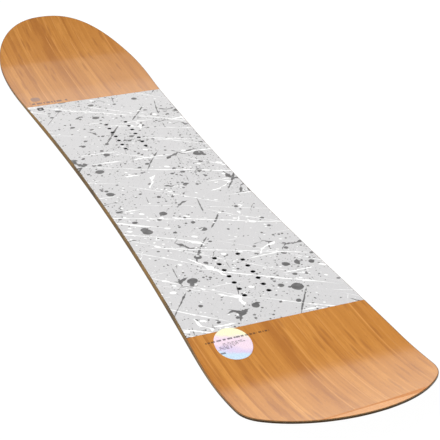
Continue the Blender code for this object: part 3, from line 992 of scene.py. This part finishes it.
def build_sides(sidewall, spacer, steel, base_plastic):
    """Sidewalls beside the core, spacers past its ends, steel edges and the base."""
    floor = above_base(CORE_FLOOR - GROWTH)
    ceiling = below_deck(CORE_CEILING_DEPTH - GROWTH)
    walls = round_walls(floor, ceiling, CORE_ROUNDING, CORE_ROUNDING)
    wall_low, wall_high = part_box("sidewall_right")
    outer = side_between(wall_low.y, wall_high.y)
    inner = [Vector((point.x - SIDEWALL_WIDTH, point.y)) for point in outer]
    for side, left, right in (
        ("right", inner, outer),
        ("left", mirrored(outer), mirrored(inner)),
    ):
        name = "sidewall_" + side
        make_slab("sanded_" + name, left, right, walls, [sidewall], "sidewall", [name])
    tail = side_between(side_stations[0], wall_low.y - HAIRLINE)
    nose = side_between(wall_high.y + HAIRLINE, side_stations[-1])
    make_slab("spacer_tail", mirrored(tail), tail, walls, [spacer], "spacer", ["tip_spacer_tail"])
    make_slab("spacer_nose", mirrored(nose), nose, walls, [spacer], "spacer", ["tip_spacer_nose"])

    sole = above_base(0.0)
    outer = [Vector((max(p.x, HALF_EDGE_JOINT), p.y)) for p in right_side]
    inner = move_in(right_side, EDGE_WIDTH)
    inner = [Vector((max(p.x, HALF_EDGE_JOINT), p.y)) for p in inner]
    walls = round_walls(sole, above_base(EDGE_HEIGHT), EDGE_ROUNDING, EDGE_ROUNDING)
    for side, left, right in (
        ("right", inner, outer),
        ("left", mirrored(outer), mirrored(inner)),
    ):
        name = "edge_" + side
        make_slab("steel_" + name, left, right, walls, [steel], "steel", [name])

    right = move_in(right_side, EDGE_WIDTH + HAIRLINE)
    walls = round_walls(sole, above_base(BASE_THICKNESS + GROWTH), BASE_ROUNDING, 0.0)
    make_slab("running_base", mirrored(right), right, walls, [base_plastic], "base", ["base_sheet"])


def build_inserts(material):
    """Flanged sleeves with a threaded blind bore. All share one turned mesh."""
    low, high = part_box(insert_names()[0])
    flange = (high.x - low.x) / 2
    top = high.z - low.z
    mesh_data = bmesh.new()
    rings = []
    for radius, z in (
        (flange - FLANGE_ROUNDING, 0.0),
        (flange, FLANGE_ROUNDING),
        (flange, FLANGE_THICKNESS - FLANGE_ROUNDING),
        (flange - FLANGE_ROUNDING, FLANGE_THICKNESS),
        (BARREL_RADIUS + BARREL_FILLET, FLANGE_THICKNESS),
        (BARREL_RADIUS, FLANGE_THICKNESS + BARREL_FILLET),
        (BARREL_RADIUS, top - BARREL_ROUNDING),
        (BARREL_RADIUS - BARREL_ROUNDING, top),
        (BORE_RADIUS + BORE_CHAMFER, top),
    ):
        rings.append(add_circle(mesh_data, Vector((0.0, 0.0)), radius, z))
    thread_rows = round((top - BORE_CHAMFER - BORE_FLOOR) / THREAD_PITCH * ROWS_PER_TURN)
    for row in range(thread_rows, -1, -1):
        z = BORE_FLOOR + row * THREAD_PITCH / ROWS_PER_TURN
        fade = min(row / ROWS_PER_TURN, (thread_rows - row) / ROWS_PER_TURN * 1.5, 1.0)
        circle = []
        for side in range(HOLE_SIDES):
            angle = 2 * math.pi * side / HOLE_SIDES
            turn = ((low.z + z) / THREAD_PITCH - side / HOLE_SIDES) % 1.0
            ridge = 1 - abs(2 * turn - 1)
            radius = BORE_RADIUS - THREAD_DEPTH * ridge * fade
            place = (radius * math.cos(angle), radius * math.sin(angle), z)
            circle.append(mesh_data.verts.new(place))
        rings.append(circle)
    for lower, upper in zip(rings, rings[1:]):
        bridge(mesh_data, lower, upper)
    mesh_data.faces.new(rings[0])
    mesh_data.faces.new(rings[-1])
    mesh = to_mesh("threaded_insert", mesh_data)
    for name in insert_names():
        low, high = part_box(name)
        centre = (low + high) / 2
        place = (centre.x, centre.y, low.z)
        make_piece("threaded_" + name, mesh, [material], [name], place)


def build_sticker(material):
    """A thin film with a rolled rim that lies on the tail veneer and follows its rise."""
    vertices = [vertex.co for vertex in nodes["sticker"].data.vertices]
    low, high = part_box("sticker")
    centre = (low + high) / 2
    rim = {(round(co.x, 5), round(co.y, 5)) for co in vertices}
    reach = {}
    for x, y in rim:
        angle = round(math.atan2(y - centre.y, x - centre.x), 2)
        reach[angle] = max(reach.get(angle, 0), math.hypot(x - centre.x, y - centre.y))
    angles = np.array(sorted(reach))
    radii = np.array([reach[angle] for angle in angles])
    angles = np.concatenate([angles - 2 * math.pi, angles, angles + 2 * math.pi])
    radii = np.tile(radii, 3)
    count = 3 * HOLE_SIDES
    turns = np.linspace(-math.pi, math.pi, count, endpoint=False)
    outline = smooth_read(angles, radii, turns)
    thick = STICKER_THICKNESS
    deck = below_deck(0.0)
    mesh_data = bmesh.new()
    rings = []
    for shrink, lift in (
        (0.0, HAIRLINE),
        (0.0, thick * 0.6),
        (thick * 0.2, thick * 0.9),
        (0.2 * MM, thick),
        (1.5 * MM, thick),
        (9 * MM, thick),
        (17 * MM, thick),
    ):
        ring = []
        for turn, radius in zip(turns, outline):
            x = centre.x + (radius - shrink) * math.cos(turn)
            y = centre.y + (radius - shrink) * math.sin(turn)
            ring.append(mesh_data.verts.new((x, y, deck(y) + lift)))
        rings.append(ring)
    for lower, upper in zip(rings, rings[1:]):
        bridge(mesh_data, lower, upper)
    top = mesh_data.verts.new((centre.x, centre.y, deck(centre.y) + thick))
    under = mesh_data.verts.new((centre.x, centre.y, deck(centre.y) + HAIRLINE))
    for ring, middle in ((rings[-1], top), (rings[0], under)):
        for index in range(count):
            mesh_data.faces.new((ring[index], ring[(index + 1) % count], middle))
    mesh = to_mesh("pearly_sticker", mesh_data)
    make_piece("pearly_sticker", mesh, [material], ["sticker"])


def dress_inner_layers(laminate, light_wood, dark_wood):
    """Gives the layers that keep their CAD shape their materials."""
    for name, node in nodes.items():
        if "laminate" in name:
            node.data.materials[0] = laminate
        elif name.startswith("core_strip"):
            light = name.endswith(("middle", "2", "4"))
            node.data.materials[0] = light_wood if light else dark_wood


# Studio --------------------------------------------------------------------------------------


def build_studio():
    scene = bpy.context.scene
    scene.view_settings.view_transform = "Standard"

    floor_mesh = bpy.data.meshes.new("studio_floor")
    turns = ((-1, -1), (1, -1), (1, 1), (-1, 1))
    corners = [(x * FLOOR_REACH, y * FLOOR_REACH, 0.0) for x, y in turns]
    floor_mesh.from_pydata(corners, [], [(0, 1, 2, 3)])
    floor = bpy.data.objects.new("studio_floor", floor_mesh)
    floor.location.z = cad_box[0].z - HAIRLINE
    scene.collection.objects.link(floor)
    made = Made(
        "studio_floor",
        {"Roughness": 0.9, "Specular IOR Level": 0.0, "Emission Strength": FLOOR_GLOW},
    )
    made.shader.inputs["Emission Color"].default_value = (1.0, 1.0, 1.0, 1.0)
    cloud = made.noise(made.place, 0.8, detail=2.0)
    shade = made.mix(cloud, (0.055, 0.055, 0.055), (0.065, 0.065, 0.065))
    floor_mesh.materials.append(made.use(colour=shade))

    world = bpy.data.worlds.new("studio")
    world.use_nodes = True
    scene.world = world
    tree = world.node_tree
    direction = tree.nodes.new("ShaderNodeTexCoord").outputs["Generated"]
    height = tree.nodes.new("ShaderNodeVectorMath")
    height.operation = "DOT_PRODUCT"
    height.inputs[1].default_value = WALL_LEAN
    tree.links.new(direction, height.inputs[0])
    fall = tree.nodes.new("ShaderNodeMapRange")
    fall.interpolation_type = "SMOOTHSTEP"
    tree.links.new(height.outputs["Value"], fall.inputs["Value"])
    fall.inputs["From Min"].default_value = WALL_FADE[0]
    fall.inputs["From Max"].default_value = WALL_FADE[1]
    fall.inputs["To Min"].default_value = WALL_LIGHT
    fall.inputs["To Max"].default_value = CEILING_LIGHT
    background = tree.nodes["Background"]
    background.inputs["Color"].default_value = WALL_COLOUR
    tree.links.new(fall.outputs["Result"], background.inputs["Strength"])

    sun = bpy.data.lights.new("soft_sun", "SUN")
    sun.energy = LAMP_STRENGTH
    sun.angle = LAMP_WIDTH
    lamp = bpy.data.objects.new("soft_sun", sun)
    lamp.rotation_euler = LAMP_SIDE.to_track_quat("Z", "Y").to_euler()
    scene.collection.objects.link(lamp)

    camera_data = bpy.data.cameras.new("camera")
    camera_data.lens = CAMERA_LENS
    camera_data.sensor_width = CAMERA_SENSOR
    camera = bpy.data.objects.new("camera", camera_data)
    back = -CAMERA_AIM.normalized()
    across = (CAMERA_RIGHT - back * CAMERA_RIGHT.dot(back)).normalized()
    turn = Matrix((across, back.cross(across), back)).transposed()
    camera.matrix_world = Matrix.Translation(CAMERA_PLACE) @ turn.to_4x4()
    scene.collection.objects.link(camera)
    scene.camera = camera


sidewall_look = make_sidewall_material()
build_topsheets(
    make_veneer_material(), make_panel_material(), make_rim_material(), sidewall_look
)
build_sides(sidewall_look, make_spacer_material(), make_steel_material(), make_base_material())
build_inserts(make_insert_material())
build_sticker(make_sticker_material())
light_tones = (colour(196, 166, 122), colour(216, 190, 148), colour(228, 206, 168))
dark_tones = (colour(150, 108, 70), colour(172, 130, 90), colour(190, 150, 108))
dress_inner_layers(
    make_laminate_material(),
    make_core_material("light_core_wood", light_tones),
    make_core_material("dark_core_wood", dark_tones),
)
build_studio()
